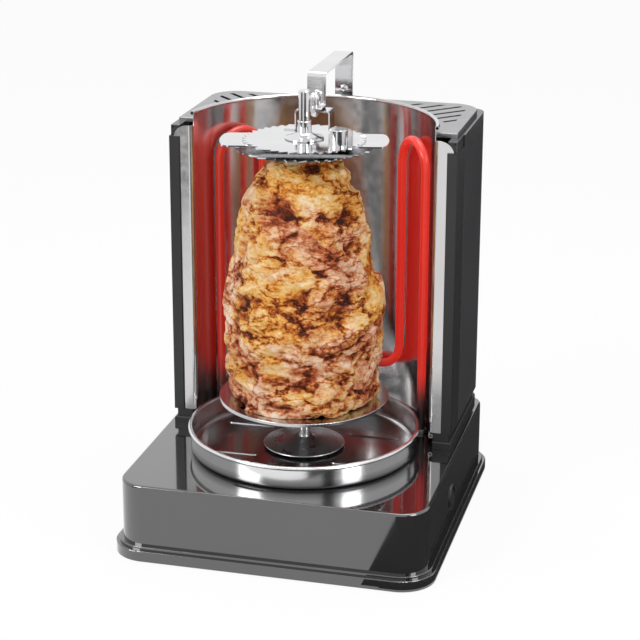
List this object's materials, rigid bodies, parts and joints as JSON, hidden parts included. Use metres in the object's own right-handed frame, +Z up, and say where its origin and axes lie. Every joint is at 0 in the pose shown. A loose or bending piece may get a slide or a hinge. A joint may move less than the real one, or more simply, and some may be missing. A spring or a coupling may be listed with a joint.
{
  "type": "electric skewer grill",
  "caption": "Upright electric skewer grill: turning spit with a plate and load before a curved mirror and a red heater, over a drip tray and a motor base.",
  "frame": {"origin": "centre of the footprint, on the table", "axes": "+Z up, +X to the right seen from the front, +Y to the back, so the open front faces -Y"},
  "size_m": [0.2874, 0.305, 0.4058],
  "materials": {
    "gloss_black": "high gloss",
    "matte_black": "fine satin",
    "rubber_black": "matte",
    "casing_paint": "satin paint",
    "lid_steel": "satin",
    "mirror_sheet": "mirror polished",
    "tray_steel": "polished, with a fine circular grain",
    "bright_steel": "polished",
    "zinc_steel": "zinc plated",
    "heater_tube": "oxidised, glowing red when hot",
    "bush_nylon": "matte",
    "ceramic_white": "unglazed",
    "food": "browned and moist"
  },
  "bodies": {
    "stand": {"base_housing": "gloss_black", "base_plate": "zinc_steel", "rubber_feet": "rubber_black", "base_screws": "zinc_steel", "drive_bush": "bush_nylon", "drive_motor": "zinc_steel", "motor_screws": "zinc_steel", "switch_housing": "matte_black", "cord_gland": "matte_black", "terminal_block": "ceramic_white", "thermal_cutout": "zinc_steel", "tower_plinth": "matte_black", "tower_casing": "casing_paint", "top_plate": "lid_steel", "reflector": "mirror_sheet", "post_right": "matte_black", "post_left": "matte_black", "post_caps": "matte_black", "heater_element": "heater_tube", "heater_ferrules": "zinc_steel", "heater_clip": "zinc_steel", "arm_pocket": "zinc_steel", "casing_screws": "zinc_steel"},
    "tray": {"drip_tray": "tray_steel"},
    "hanger": {"upper_disc": "bright_steel", "handle_bar": "bright_steel", "top_bush": "bush_nylon", "lift_knob": "bright_steel", "bridge_bracket": "bright_steel", "guide_pin": "bright_steel", "pin_nut": "bright_steel", "hanger_arm": "bright_steel", "arm_screw": "bright_steel"},
    "spit": {"spit_rod": "bright_steel", "drip_cone": "bright_steel", "meat_plate": "tray_steel", "meat_load": "food", "lower_disc": "bright_steel", "lock_collar": "bright_steel"},
    "drive": {"drive_shaft": "zinc_steel", "drive_coupler": "zinc_steel"},
    "switch": {"switch_rocker": "matte_black"}
  },
  "joints": [
    {"name": "tray_lift", "type": "slide", "parent": "stand", "child": "tray", "axis": [0, 0, 1], "range_m": [0, 0.034]},
    {"name": "hanger_lift", "type": "slide", "parent": "tray", "child": "hanger", "axis": [0, 0, 1], "range_m": [0, 0.04]},
    {"name": "spit_spin", "type": "hinge", "parent": "hanger", "child": "spit", "pos_m": [0, -0.02, 0.2], "axis": [0, 0, 1], "continuous": true},
    {"name": "drive_spin", "type": "hinge", "parent": "stand", "child": "drive", "pos_m": [0, -0.02, 0.05], "axis": [0, 0, 1], "continuous": true},
    {"name": "power_switch", "type": "hinge", "parent": "stand", "child": "switch", "pos_m": [0.13625, -0.0205, 0.034], "axis": [0, 1, 0], "range_deg": [0, 16]}
  ],
  "couplings": [
    {"joint": "drive_spin", "follows": "spit_spin", "ratio": 1}
  ]
}
